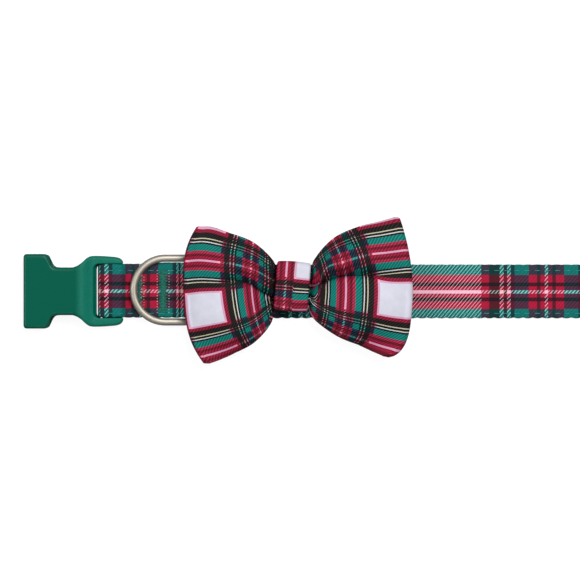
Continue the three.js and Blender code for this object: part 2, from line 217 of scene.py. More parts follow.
glow = addNode(worldTree, "MapRange", {
    "Value": towards["Z"], "From Min": studio["darkFrom"], "From Max": studio["darkTo"],
    "To Min": studio["sides"], "To Max": studio["overhead"]}, interpolation_type="SMOOTHSTEP")
near = addNode(worldTree, "MapRange", {
    "Value": towards["Y"], "From Min": studio["nearFrom"], "From Max": studio["nearTo"],
    "To Min": studio["near"], "To Max": 1.0}, interpolation_type="SMOOTHSTEP")
strength = addNode(worldTree, "Math", {0: glow, 1: near}, operation="MULTIPLY")
setInputs(worldTree, surround, {"Color": (1.0, 1.0, 1.0, 1.0), "Strength": strength})
scene.world = world
for name, place, size, power in studio["lights"]:
    lightData = bpy.data.lights.new(name, "AREA")
    lightData.size = size
    lightData.energy = power
    light = addObject(name, lightData)
    light.location = place
    light.rotation_mode = "QUATERNION"
    light.rotation_quaternion = (-light.location).to_track_quat("-Z", "Y")
scene.view_settings.view_transform = "Standard"
scene.view_settings.look = "None"

# The floor is a light table: opal acrylic lit from below, which leaves only faint shadows. Its glow is linked
# to the floor alone, so that the object's edges stay as dark as under studio light.
lightTable = {
    "reach": 3000.0, "level": -0.3, "glow": 0.9, "roughness": 0.9,  # lengths in mm
    "grain": 25.0, "tones": ("#646464", "#686868"),
}
edge = np.array([-lightTable["reach"], lightTable["reach"]])
level = np.full((2, 2), lightTable["level"])
floor = gridObject("floor", np.stack([*np.meshgrid(edge, edge, indexing="ij"), level], axis=-1))
opal, opalTree, opalShader = newMaterial("opalAcrylic", {"Roughness": lightTable["roughness"]})
opalPlace = addNode(opalTree, "TexCoord").outputs["Object"]
opalGrain = addNode(opalTree, "TexNoise", {"Vector": opalPlace, "Scale": 1 / (lightTable["grain"] * mm)})
opalShade = addNode(opalTree, "ValToRGB", {"Fac": opalGrain})
for band, colour in zip(opalShade.color_ramp.elements, lightTable["tones"]):
    band.color = linear(colour)
setInputs(opalTree, opalShader, {"Base Color": opalShade, "Emission Color": (1.0, 1.0, 1.0, 1.0),
                                 "Emission Strength": lightTable["glow"]})
floor.data.materials.append(opal)
floorOnly = bpy.data.collections.new("floorOnly")
floorOnly.objects.link(floor)
floor.light_linking.receiver_collection = floorOnly
print("stage and camera ready")


# Tartan stripes: the coordinate goes to and fro over half a repeat, and a stepped ramp holds the chart's
# colours. The ramp's alpha holds the share of the twill's pitch that a pale yarn covers.
def stripes(tree, coordinate, chart):
    half = sum(row[0] for row in chart)
    fold = addNode(tree, "Math", {0: coordinate, 1: half}, operation="PINGPONG")
    share = addNode(tree, "Math", {0: fold, 1: half}, operation="DIVIDE")
    ramp = addNode(tree, "ValToRGB", {"Fac": share})
    ramp.color_ramp.interpolation = "CONSTANT"
    bands = ramp.color_ramp.elements
    bands.remove(bands[-1])
    start = 0.0
    for k, (width, colour, cover) in enumerate(chart):
        band = bands[0] if k == 0 else bands.new(start / half)
        band.color = (*linear(colour)[:3], cover)
        start += width
    return ramp.outputs["Color"], ramp.outputs["Alpha"]


# Diagonal ribs of a twill: a zigzag from 0 between ribs to 1 on them, over (along - lean * across) / pitch.
def twillRibs(tree, along, across, weave):
    step = addNode(tree, "Math", {0: across, 1: weave["threadPitch"]}, operation="SNAP")
    lean = addNode(tree, "Math", {0: step, 1: -weave["ribLean"], 2: along}, operation="MULTIPLY_ADD")
    turns = addNode(tree, "Math", {0: lean, 1: 2 / weave["ribPitch"]}, operation="MULTIPLY")
    return addNode(tree, "Math", {0: turns, 1: 1.0}, operation="PINGPONG")


# How far a pale yarn shows: full where the rib's height is within the share that the yarn covers.
def paleYarn(tree, ribs, cover, softness):
    above = addNode(tree, "Math", {0: ribs, 1: cover}, operation="ADD")
    return addNode(tree, "MapRange", {"Value": above, "From Min": 1.0, "From Max": 1.0 + softness})


# Colour of a weave: two dark stripes give the darker of both with some of their mean, and a pale stripe gives
# way to a dark one, but its yarn shows there on the twill's ribs or gaps, mixed with a brighter tone of what
# lies round it.
def wovenColour(tree, axes, ribs, weave):
    weft, weftCover = stripes(tree, axes.outputs["X"], weave["crosswise"])
    warp, warpCover = stripes(tree, axes.outputs["Y"], weave["lengthwise"])
    darker = addNode(tree, "Mix", {0: 1.0, 6: warp, 7: weft}, data_type="RGBA", blend_type="DARKEN")
    weftShare = addNode(tree, "MapRange", {"Value": ribs, "To Min": weave["weftShare"][0],
                                           "To Max": weave["weftShare"][1]})
    mean = addNode(tree, "Mix", {0: weftShare, 6: warp, 7: weft}, data_type="RGBA")
    weftDark = addNode(tree, "Math", {0: weftCover, 1: weave["bare"]}, operation="LESS_THAN")
    warpDark = addNode(tree, "Math", {0: warpCover, 1: weave["bare"]}, operation="LESS_THAN")
    bothDark = addNode(tree, "Math", {0: weftDark, 1: warpDark}, operation="MULTIPLY")
    apart = addNode(tree, "Math", {0: bothDark, 1: weave["mix"]}, operation="MULTIPLY")
    ground = addNode(tree, "Mix", {0: apart, 6: darker, 7: mean}, data_type="RGBA")
    # Painted shade between the twill's ribs and painted highlight on them, where a dark stripe lies.
    lift = addNode(tree, "MapRange", {"Value": ribs, "To Min": weave["paintedRibGamma"][0],
                                      "To Max": weave["paintedRibGamma"][1]})
    ribShaded = addNode(tree, "Gamma", {"Color": ground, "Gamma": lift})
    anyDark = addNode(tree, "Math", {0: weftDark, 1: warpDark}, operation="MAXIMUM")
    ground = addNode(tree, "Mix", {0: anyDark, 6: ground, 7: ribShaded}, data_type="RGBA")
    gaps = addNode(tree, "Math", {0: 1.0, 1: ribs}, operation="SUBTRACT")
    warpFace = paleYarn(tree, gaps, warpCover, weave["softness"])
    weftFace = paleYarn(tree, ribs, weftCover, weave["softness"])
    warpShown = addNode(tree, "Math", {0: warpFace, 1: weftDark}, operation="MULTIPLY")
    shown = addNode(tree, "Math", {0: weftFace, 1: warpDark, 2: warpShown}, operation="MULTIPLY_ADD")
    bright = addNode(tree, "Gamma", {"Color": ground, "Gamma": weave["tintGamma"]})
    tinted = addNode(tree, "Mix", {0: weave["tint"], 6: linear(weave["paleYarn"]), 7: bright},
                     data_type="RGBA")
    return addNode(tree, "Mix", {0: shown, 6: ground, 7: tinted}, data_type="RGBA")


noiseLow, noiseHigh = 0.25, 0.75  # nearly all of a noise texture's values lie between these


# Shared end of a cloth material: uneven dye over the colour, and the weave's ribs and threads as low relief.
def finishCloth(tree, shader, place, colour, ribs, across, weave):
    scale = (1 / weave["slub"][0], 1 / weave["slub"][1], 1.0)
    stretched = addNode(tree, "Mapping", {"Vector": place, "Scale": scale})
    slub = addNode(tree, "TexNoise", {"Vector": stretched, "Scale": 1.0, "Detail": 3.0})
    shade = addNode(tree, "MapRange", {"Value": slub, "From Min": noiseLow, "From Max": noiseHigh,
                                       "To Min": weave["shade"][0], "To Max": weave["shade"][1]})
    dyed = addNode(tree, "VectorMath", {0: colour, 1: shade}, operation="MULTIPLY")
    turn = addNode(tree, "Math", {0: across, 1: 2 * math.pi / weave["threadPitch"]}, operation="MULTIPLY")
    thread = addNode(tree, "Math", {0: turn}, operation="SINE")
    relief = addNode(tree, "Math", {0: thread, 1: weave["threadRelief"], 2: ribs}, operation="MULTIPLY_ADD")
    bump = addNode(tree, "Bump", {"Height": relief, "Strength": weave["bump"],
                                  "Distance": weave["relief"] * mm})
    setInputs(tree, shader, {"Base Color": dyed, "Normal": bump})


# A tartan cloth material, on the piece's own uv map in mm of cloth.
def tartanCloth(name, weave):
    material, tree, shader = newMaterial(name, {"Roughness": weave["roughness"], "Specular IOR Level": 0.2})
    place = addNode(tree, "UVMap", uv_map="cloth").outputs["UV"]
    axes = addNode(tree, "SeparateXYZ", {0: place})
    ribs = twillRibs(tree, axes.outputs["X"], axes.outputs["Y"], weave)
    colour = wovenColour(tree, axes, ribs, weave)
    finishCloth(tree, shader, place, colour, ribs, axes.outputs["Y"], weave)
    return material


# Polyester webbing woven in coloured twill: pale yarns lie on the face as diagonal ribs, and two dark yarns
# that cross are beaten so close that they read as one deep mixed colour.
webbingCloth = {
    # Width in mm, colour, and the share that a pale yarn covers.
    "crosswise": [  # from the middle of the white bar to the middle of the pink line
        (13.1, "#f2eef0", 0.27), (2.9, "#a80f35", 0), (4.1, "#1d1517", 0), (1.35, "#f2dcb8", 0.3),
        (1.35, "#5a1224", 0), (1.3, "#f8dfe6", 0.31), (1.45, "#241f2a", 0), (5.27, "#006c66", 0),
        (3.14, "#a80f35", 0), (1.31, "#34141f", 0), (1.65, "#a80f35", 0), (0.65, "#fbd6e0", 0.36),
    ],
    "lengthwise": [  # from the middle of the strap to its edge
        (0.6, "#ffbace", 0.45), (1.44, "#a80f35", 0), (1.46, "#2a0c17", 0), (2.8, "#a80f35", 0),
        (5.2, "#006c66", 0),
    ],
    "bare": 0.005,  # a stripe with less cover is a dark one
    "paleYarn": "#e6eef0",
    "tint": 0.64,  # share of the brighter tone in a pale yarn, and the gamma that brightens it
    "tintGamma": 0.4,
    # painted shade between the twill's ribs and painted highlight on them
    "paintedRibGamma": (1.1, 0.92),  # between ribs, which are darker, and on them
    "ribPitch": 1.37,
    "ribLean": 0.84,
    "threadPitch": 0.45,
    "softness": 0.12,
    "mix": 0.26,  # share of the mean where two dark stripes cross
    "weftShare": (0.1, 0.55),  # share of the crosswise yarn between ribs and on them
    "slub": (2.0, 0.4),  # length and width of a patch of uneven dye
    "shade": (0.88, 1.08),
    "threadRelief": 0.2,
    "bump": 0.8,
    "relief": 0.12,
    "roughness": 0.8,
}

# Polyester twill printed with a tartan: the print's white is bare cloth, so a stripe keeps its full colour on
# it, two dark stripes add up to a deeper one, and the twill's ribs show as fine slanting lines.
bowTartan = {
    # Width in mm, colour, and a trace of cover that marks bare white cloth.
    "crosswise": [  # from the middle of the white square to the middle of the pink line
        (6.25, "#cecdda", 0.02), (0.75, "#ff9cb8", 0.02), (1.3, "#8c1033", 0), (2.13, "#171112", 0),
        (0.4, "#c2c0a2", 0.3), (0.85, "#171112", 0), (0.42, "#c9d0ce", 0.3), (0.64, "#171112", 0),
        (2.43, "#00776d", 0), (1.12, "#a02346", 0), (0.93, "#680920", 0), (1.17, "#921235", 0),
        (0.4, "#ff98b4", 0.33),
    ],
    "bare": 0.005,
    "paleYarn": "#d8d2d2",
    "tint": 0.82,
    "tintGamma": 0.54,
    # painted shade between the twill's ribs and painted highlight on them
    "paintedRibGamma": (1.45, 0.74),
    "ribPitch": 1.2,  # real ribs are 0.65 mm apart, drawn coarser so that they show
    "ribLean": 0.9,
    "threadPitch": 0.15,
    "softness": 0.12,
    "mix": 0.1,
    "weftShare": (0.0, 1.0),
    "slub": (3.33, 3.33),
    "shade": (0.93, 1.05),
    "threadRelief": 0.1,
    "bump": 0.5,
    "relief": 0.05,
    "roughness": 0.75,
}
bowTartan["lengthwise"] = bowTartan["crosswise"]  # the print's stripes are the same both ways

# Acetal, injection moulded: an even deep green. The grip's faces are polished satin, and the strap frame has
# a spark eroded grain, and the light that it scatters is painted in as a paler green.
acetalFinish = {
    # the grained green is real grain made paler by a painted sheen
    "greens": ("#005644", "#046e5b"),  # smooth and grained
    "greensAt": (0.0, 0.6),
    "roughness": (0.3, 0.6),
    "grain": 0.4545,  # real grain is finer, drawn coarser so that it shows
    "grainFrom": -81.0,
    "grainTo": -78.5,
    "bump": 0.6,
    "relief": 0.06,
}


# The grain is noise that fades in along the socket between grip and frame; gloss and a painted paler sheen
# follow it.
def mouldedAcetal(finish):
    material, tree, shader = newMaterial("mouldedAcetal", {"IOR": 1.48, "Specular IOR Level": 0.16})
    place = addNode(tree, "TexCoord").outputs["Object"]
    axes = addNode(tree, "SeparateXYZ", {0: place})
    textured = addNode(tree, "MapRange", {"Value": axes.outputs["X"], "From Min": finish["grainFrom"] * mm,
                                          "From Max": finish["grainTo"] * mm})
    grain = addNode(tree, "TexNoise", {"Vector": place, "Scale": 1 / (finish["grain"] * mm), "Detail": 2.0})
    grained = addNode(tree, "Math", {0: grain, 1: textured}, operation="MULTIPLY")
    tone = addNode(tree, "ValToRGB", {"Fac": grained})
    for band, colour, at in zip(tone.color_ramp.elements, finish["greens"], finish["greensAt"]):
        band.position = at
        band.color = linear(colour)
    gloss = addNode(tree, "MapRange", {"Value": grained, "To Min": finish["roughness"][0],
                                       "To Max": finish["roughness"][1]})
    bump = addNode(tree, "Bump", {"Height": grained, "Strength": finish["bump"],
                                  "Distance": finish["relief"] * mm})
    setInputs(tree, shader, {"Base Color": tone, "Roughness": gloss, "Normal": bump})
    return material


# Drawn steel wire with bright nickel plate: warm grey mirror, softened by fine draw lines and handling.
nickelFinish = {
    "tones": ("#aea89c", "#beb8ac"),
    "roughness": (0.5, 0.57),
    "wear": 6.25,  # size of a worn patch
    "wearRange": (0.3, 0.7),
    "drawn": 0.667,  # draw lines, much coarser than real ones so that they show
    "bump": 0.05,
    "relief": 0.02,
}


# Noise of the size of worn patches sets tone and gloss, and finer noise stands for the draw lines.
def nickelPlate(finish):
    material, tree, shader = newMaterial("nickelPlatedWire", {"Metallic": 1.0})
    place = addNode(tree, "TexCoord").outputs["Object"]
    wear = addNode(tree, "TexNoise", {"Vector": place, "Scale": 1 / (finish["wear"] * mm), "Detail": 4.0})
    tone = addNode(tree, "ValToRGB", {"Fac": wear})
    for band, colour in zip(tone.color_ramp.elements, finish["tones"]):
        band.color = linear(colour)
    gloss = addNode(tree, "MapRange", {
        "Value": wear, "From Min": finish["wearRange"][0], "From Max": finish["wearRange"][1],
        "To Min": finish["roughness"][0], "To Max": finish["roughness"][1]})
    lines = addNode(tree, "TexNoise", {"Vector": place, "Scale": 1 / (finish["drawn"] * mm), "Detail": 1.0})
    bump = addNode(tree, "Bump", {"Height": lines, "Strength": finish["bump"],
                                  "Distance": finish["relief"] * mm})
    setInputs(tree, shader, {"Base Color": tone, "Roughness": gloss, "Normal": bump})
    return material


# Bonded polyester sewing thread: a soft sheen with the twist of its plies as fine slanting lines.
threadFinish = {"twist": 0.556, "tonesAt": (0.35, 0.65), "bump": 0.4, "relief": 0.05}


# Noise of the size of the plies' twist goes from the dark tone to the light one, and stands up as low relief.
def sewingThread(name, light, dark, finish):
    material, tree, shader = newMaterial(name, {"Roughness": 0.55, "Specular IOR Level": 0.2})
    place = addNode(tree, "TexCoord").outputs["Object"]
    twist = addNode(tree, "TexNoise", {"Vector": place, "Scale": 1 / (finish["twist"] * mm), "Detail": 2.0})
    tone = addNode(tree, "ValToRGB", {"Fac": twist})
    for band, colour, at in zip(tone.color_ramp.elements, (dark, light), finish["tonesAt"]):
        band.position = at
        band.color = linear(colour)
    bump = addNode(tree, "Bump", {"Height": twist, "Strength": finish["bump"],
                                  "Distance": finish["relief"] * mm})
    setInputs(tree, shader, {"Base Color": tone, "Normal": bump})
    return material


webbingMaterial = tartanCloth("wovenTwillWebbing", webbingCloth)
bowMaterial = tartanCloth("printedTwillCloth", bowTartan)
acetal = mouldedAcetal(acetalFinish)
nickel = nickelPlate(nickelFinish)
greenThread = sewingThread("greenSewingThread", "#1f7463", "#0b4f43", threadFinish)
paleThread = sewingThread("paleBobbinThread", "#c3ccc6", "#7f9088", threadFinish)
seamThread = sewingThread("seaGreenThread", "#3fa398", "#1f7f76", threadFinish)
print("materials ready")

# Strap: one length of webbing, its rounded flat section carried along the line that it lies in.
strap = {
    "width": 20.0,
    "thickness": 1.7,
    "edgeRadius": 0.7,
    "barHeight": 3.2,
    "socketTurn": -69.35,
    "plugTurn": 233.75,
    "socketTail": -22.0,
    "plugTail": 199.0,
    "levels": [  # from, to, height of the upper layer's middle
        (-69.35, -64.6, 5.55), (-62.2, -42.6, 2.75), (-39.0, -37.2, 5.55), (-33.6, -20.5, 2.75),
        (-12.0, 189.0, 0.85), (197.5, 225.0, 2.75), (228.6, 233.75, 5.55),
    ],
    "rampSteps": 24,
    "turnSteps": 24,
    "step": 0.5,
    "flatSteps": 15,
    "bendSteps": 5,
    "scallopPitch": 3.6,
    "scallopDepth": (0.12, 0.36),  # far edge, near edge
    "scallopMean": 0.6,
    "edgePower": 6,  # the higher, the closer scallops keep to the edge
    "ringSpread": (0.5, 0.05),  # how much wider the ring's arms press it, far edge, near edge
    "spreadAt": -44.5,
    "spreadReach": 7.5,
    "spreadPower": 4,
    "whiteMiddle": 57.5,
    "stripeMiddle": -0.24,
    "bowTakeUp": 3.7,  # the pattern's step under the bow
    "endShift": (0.28, -18.0, -38.0),  # socket end lies this much off the middle, from one x to the other
}


# The strap's middle line in X and Z: from the lower tail half round the socket's bar, along the upper levels
# with smooth ramps between them, and half round the plug's bar. Its cloth coordinate is the length run from
# under the knot.
def strapLine(strap):
    single = strap["thickness"] / 2
    radius = strap["barHeight"] - single
    angle = np.linspace(0, math.pi, strap["turnSteps"] + 1)
    ramp = np.linspace(0, 1, strap["rampSteps"] + 1)
    x, z = [strap["socketTail"]], [single]
    x += list(strap["socketTurn"] - radius * np.sin(angle))
    z += list(strap["barHeight"] - radius * np.cos(angle))
    for (start, end, height), (nextStart, nextEnd, nextHeight) in zip(strap["levels"], strap["levels"][1:]):
        x += list(end + (nextStart - end) * ramp)
        z += list(height + (nextHeight - height) * smoothStep(ramp))
    x += list(strap["plugTurn"] + radius * np.sin(angle))
    z += list(strap["barHeight"] + radius * np.cos(angle))
    x.append(strap["plugTail"])
    z.append(single)
    line = np.stack([x, z], axis=1)
    length = runAlong(line)[-1]
    line = evenPath(line, int(length / strap["step"]))
    cloth = runAlong(line)
    underKnot = np.argmin(np.abs(line[:, 0]))
    cloth = cloth - cloth[underKnot] + line[underKnot, 0]
    return line, cloth + strap["bowTakeUp"] * (cloth < 0), length


# The webbing's section: a flat top and back and round edges, which the weft's turns draw in and out, and
# which the ring's arms spread over a flat-topped bell along the strap.
def strapPoints(strap):
    line, cloth, length = strapLine(strap)
    half, thick, radius = strap["width"] / 2, strap["thickness"] / 2, strap["edgeRadius"]
    flat = np.linspace(-1, 1, strap["flatSteps"]) * (half - radius)
    bend = np.linspace(-math.pi / 2, math.pi / 2, strap["bendSteps"] + 2)[1:-1]
    across = np.concatenate([flat, half - radius + radius * np.cos(bend),
                             flat[::-1], radius - half - radius * np.cos(bend)])
    level = np.full(strap["flatSteps"], thick)
    out = np.concatenate([-level, thick * np.sin(bend), level, -thick * np.sin(bend)])
    wave = np.abs(np.sin(math.pi * cloth / strap["scallopPitch"]))[:, None] - strap["scallopMean"]
    scallop, spread = (np.where(across > 0, *strap[name]) for name in ("scallopDepth", "ringSpread"))
    inRing = bell(line[:, :1] - strap["spreadAt"], strap["spreadReach"], strap["spreadPower"])
    atEdge = (np.abs(across) / half) ** strap["edgePower"] * np.sign(across)
    across = across + atEdge * (scallop * wave + spread * inRing)
    along = unit(np.gradient(line, axis=0))
    x = line[:, :1] - along[:, 1:] * out
    z = line[:, 1:] + along[:, :1] * out
    shift, shiftFrom, shiftTo = strap["endShift"]
    share = np.clip((line[:, :1] - shiftFrom) / (shiftTo - shiftFrom), 0, 1)
    points = np.stack([x, across + shift * smoothStep(share), z], axis=-1)
    u = np.repeat((cloth - strap["whiteMiddle"])[:, None], across.shape[1] + 1, axis=1)
    v = np.concatenate([across, across[:, :1]], axis=1) - strap["stripeMiddle"]
    return points, np.stack([u, v], axis=-1), length


points, uv, strapLength = strapPoints(strap)
strapPiece = gridObject("strapWebbing", points, uv, closeColumns=True, capRows=True)
finishPiece(strapPiece, "collar", "webbing", webbingMaterial, "strap")
print("strap made, length", round(strapLength, 1), "mm")

# Edge stitching: single stitches of pale green thread along both edges of the strap's face.
edgeSeam = {
    "inset": 2.0, "from": -69.0, "to": 233.0, "pitch": 3.8, "length": 2.1, "radius": 0.11, "rise": 0.05,
    "dip": 6, "slack": 0.2, "sides": 6, "rows": 7,  # a higher dip leaves more of a stitch straight
}


# Each stitch is a short round thread along the webbing's face that dips into it at both ends.
def seamPoints(seam, strap, face):
    start = np.arange(seam["from"], seam["to"], seam["pitch"])
    share = np.linspace(0, 1, seam["rows"])
    x = start[:, None] + seam["length"] * share
    above = face[:, 2] > strap["thickness"] - seam["slack"]
    upper = face[above & (face[:, 0] > strap["socketTurn"]) & (face[:, 0] < strap["plugTurn"])]
    z = np.interp(x, upper[:, 0], upper[:, 2])
    z = z + seam["rise"] - (seam["radius"] + seam["rise"]) * (2 * share - 1) ** seam["dip"]
    edge = strap["width"] / 2 - seam["inset"]
    path = np.stack([x, np.full(x.shape, edge + strap["stripeMiddle"]), z], axis=-1)
    rings = np.stack([tubePoints(stitch, seam["radius"], seam["sides"]) for stitch in path])
    return np.concatenate([rings, rings - [0, 2 * edge, 0]])


face = points[:, strap["flatSteps"] + strap["bendSteps"] + strap["flatSteps"] // 2]
seamPiece = gridObject("edgeStitches", seamPoints(edgeSeam, strap, face), closeColumns=True, capRows=True)
finishPiece(seamPiece, "collar", "webbing", seamThread)
print("edges stitched")

# Bar tacks: dense zigzags through both layers, green on the face, with pale bobbin thread on the back and in
# the needle holes.
tack = {
    "face": 3.6,
    "back": 0.0,
    "places": [  # left and right edge of a tack, lower and upper end
        (-58.4, -55.7, -6.2, 5.6), (-50.0, -46.3, -7.9, 8.0),
        (203.0, 206.7, -8.0, 7.9), (216.0, 219.7, -8.0, 7.9),
    ],
    "pitch": 0.26,
    "inset": 0.8,
    "radius": 0.22,
    "sides": 8,
    "pointsPerStitch": 7,
    "sink": 0.3,
    "lift": 0.35,
    "arch": 0.4,  # the lower, the flatter a stitch is on top
    "dotRadius": 0.22,
    "dotOut": 0.35,
    "dotStitches": 4,  # stitches from one dot to the next
    "dotPole": 0.4,
    "dotRings": 4,
    "dotSides": 8,
}


# A tack's thread goes from side to side and steps along, every other pair of stitches shorter; each stitch
# arches up from its needle holes.
def tackPath(tack, left, right, low, high, level, side):
    count = int((high - low) / tack["pitch"])
    at = np.linspace(0, count, count * tack["pointsPerStitch"] + 1)
    swing = np.abs((at + 1) % 2 - 1)
    lift = np.abs(np.sin(math.pi * at)) ** tack["arch"]
    inset = tack["inset"] * (np.floor(at / 2) % 2)
    x = left + inset + (right - left - 2 * inset) * swing
    y = low + tack["pitch"] * at
    z = level + side * (tack["lift"] * lift - tack["sink"])
    return np.stack([x, y, z], axis=1)


# Small flattened beads, one grid each: rings of a ball about every centre, without its poles.
def beadPoints(tack, centres):
    polar = np.linspace(tack["dotPole"], math.pi - tack["dotPole"], tack["dotRings"])[:, None]
    turn = np.linspace(0, 2 * math.pi, tack["dotSides"], endpoint=False)[None, :]
    girth = np.sin(polar)
    ball = np.stack([girth * np.cos(turn), girth * np.sin(turn), np.cos(polar) + 0 * turn], axis=-1)
    return centres[:, None, None] + tack["dotRadius"] * ball


tackSides = [("barTack", tack["face"], 1, greenThread), ("backTack", tack["back"], -1, paleThread)]
for number, (left, right, low, high) in enumerate(tack["places"], 1):
    for name, level, side, thread in tackSides:
        path = tackPath(tack, left, right, low, high, level, side)
        tube = tubePoints(path, tack["radius"], tack["sides"])
        stitches = gridObject(f"{name}{number}", tube, closeColumns=True, capRows=True)
        finishPiece(stitches, "collar", "webbing", thread)
    rows = np.arange(low, high, tack["pitch"] * tack["dotStitches"])
    ends = np.array([left - tack["dotOut"], right + tack["dotOut"]])
    height = np.full((2, len(rows)), tack["face"])
    holes = np.stack([*np.meshgrid(ends, rows, indexing="ij"), height], axis=-1)
    beads = beadPoints(tack, holes.reshape(-1, 3))
    dots = gridObject(f"tackDots{number}", beads, closeColumns=True, capRows=True)
    finishPiece(dots, "collar", "webbing", paleThread)
print("bar tacks sewn")

# D-ring: round wire along a D of straight bar, two corners, two arms and a half circle, tilted about its bar.
ring = {
    "bar": (-38.1, 0.45, 3.2), "half": 11.9, "arm": 9.3, "corner": 2.1, "tilt": 6.8, "wire": 2.7,
    "cornerSteps": 15, "roundSteps": 79, "steps": 260, "sides": 28,
}


# The wire's middle line: quarter rounds at the bar, a half round beyond the arms, evenly spaced and tilted.
def ringPath(ring):
    half, arm, corner = ring["half"], ring["arm"], ring["corner"]
    quarter = np.linspace(0, math.pi / 2, ring["cornerSteps"] + 1)
    turn = np.linspace(0, math.pi, ring["roundSteps"] + 1)
    x = np.concatenate([corner - corner * np.cos(quarter), arm + half * np.sin(turn),
                        corner - corner * np.sin(quarter)])
    y = np.concatenate([half - corner + corner * np.sin(quarter), half * np.cos(turn),
                        corner - half - corner * np.cos(quarter)])
    flat = evenPath(np.stack([x, y], axis=1), ring["steps"], closed=True)
    tilt = math.radians(ring["tilt"])
    offset = np.stack([-flat[:, 0] * math.cos(tilt), flat[:, 1], flat[:, 0] * math.sin(tilt)], axis=1)
    return np.array(ring["bar"]) + offset, (math.sin(tilt), 0, math.cos(tilt))


path, ringUp = ringPath(ring)
wire = tubePoints(path, ring["wire"] / 2, ring["sides"], up=ringUp, closed=True)
ringPiece = gridObject("nickelRing", wire, closeRows=True, closeColumns=True)
finishPiece(ringPiece, "ring", "ring", nickel, "d_ring")
print("ring made")

# Bow: a band of doubled cloth in a flat loop. Places along a wing are shares of it from the knot, places
# across it are shares from its lower edge, and lengths of cloth are counted from the middle of the white
# square. A pair is for below and above the fold, unless noted. Columns of a rib: both ends of it, how far its
# middle bulges out, heights of the front's edges, ridges and middle fold and of the back, and the share of
# the width below the fold.
bow = {
    "left": {
        "side": -1, "skew": 1.0, "fullness": 3.0,  # form of the bulge
        "pinkAt": -15.3,  # x of the pink line
        "whiteAt": 0.371, "below": 21.5, "above": 31.1,  # white square, and the cloth on both sides of it
        "tuckAt": 0.285, "tuckReach": 0.3, "tuckPower": 4,  # the pleat that gathers the cloth
        "atKnot": (-17.5, -8.5, 9.0, 29.0),  # cloth at the lower edge, beside the pleat, at the upper edge
        "swallow": (6.0, 2.0), "swallowAt": 0.3, "swallowReach": 0.13,  # cloth that the fold takes in
        "creaseAt": 0.22, "creaseReach": 0.2, "fan": (2.5, -0.8), "lowerDrop": 0.75,
        "hollow": (2.6, 0.14, 0.15),  # depth, place and reach of the dent in the lower lobe
        "ribs": [
            (-6.2, 9.5, -7.5, -5.5, 0, 6.8, 7.6, 6.4, 3.4, 0.27),
            (-8.4, 13.2, -8.2, -12, -0.5, 6.8, 11.2, 6.8, 3.7, 0.42),
            (-15.3, 18.8, -14, -18.9, -2.2, 7.8, 15.4, 10.4, 5, 0.6),
            (-24.2, 22.1, -21.4, -23.1, -3.6, 8.6, 15.8, 15.2, 5.8, 0.585),
            (-30.8, 24.1, -28, -25.7, -4.9, 9.2, 14, 14.0, 7.2, 0.57),
            (-35.7, 24.3, -33.1, -27.1, -6.1, 10.4, 11.8, 11.8, 8.8, 0.56),
        ],
    },
    "right": {
        "side": 1, "skew": 0.62, "fullness": 2.5,
        "pinkAt": 20.6, "whiteAt": 0.402, "below": 21.0, "above": 30.7,
        "tuckAt": 0.283, "tuckReach": 0.28, "tuckPower": 7,
        "atKnot": (-19.0, -8.5, 11.2, 28.5),
        "swallow": (5.4, 4.4), "swallowAt": 0.42, "swallowReach": 0.2,
        "creaseAt": 0.5, "creaseReach": 0.3, "fan": (2.2, 3.4), "lowerDrop": 0.1,
        "hollow": (0.8, 0.1, 0.12),
        "ribs": [
            (7.9, 8.6, 6.6, -6.4, 0, 6.8, 7.6, 6.4, 3.4, 0.55),
            (9.2, 13.2, 9, -11, 0.5, 6.8, 11.2, 6.8, 3.9, 0.57),
            (16, 20.2, 17, -16.8, 1.6, 7.8, 15.4, 10.2, 5, 0.605),
            (25, 24.2, 25.4, -20.4, 3.4, 8.6, 15.8, 13.4, 5.8, 0.59),
            (33, 26, 31.6, -23, 5.4, 9.2, 14, 13.4, 7.2, 0.59),
            (40.3, 27.7, 36.6, -24.7, 6.9, 10.4, 11.8, 11.8, 8.8, 0.6),
        ],
    },
    "flat": (0.050, 0.165),  # in m
    "thickness": 1.2,
    "foldRadius": 1.5,
    "backInset": 1.2,
    "frontSteps": 84,
    "turnSteps": 8,
    "backSteps": 36,
    "acrossSteps": 120,
    "creaseDepth": 2.3,
    "creaseWidth": (0.028, 0.05),
    "diveDepth": 1.9,  # how far the front dips under the knot
    "diveReach": 0.1,
    "pleatDepth": 1.0,
    "pleatReach": 0.22,
    "pleats": 4.5,
    "tuckWidth": 0.004,  # half width of the pleat at the knot that takes in the white square
    "swallowWidth": (0.012, 0.12),  # of the step at the fold, and of the stretch beside it
    "lobePower": (0.6, 0.7),  # at the knot, and what is added at the wing's end
    "dropReach": 0.4,
    "levelReach": 0.08,  # stretch over which front and back become level before the turn
    "lean": 1.4,  # how much the lobes roll down the wing near the knot
    "leanReach": 0.45,
    "drawIn": 4,  # the higher, the later the wing draws in to make room for its turn
    "fanPower": 1.5,
}


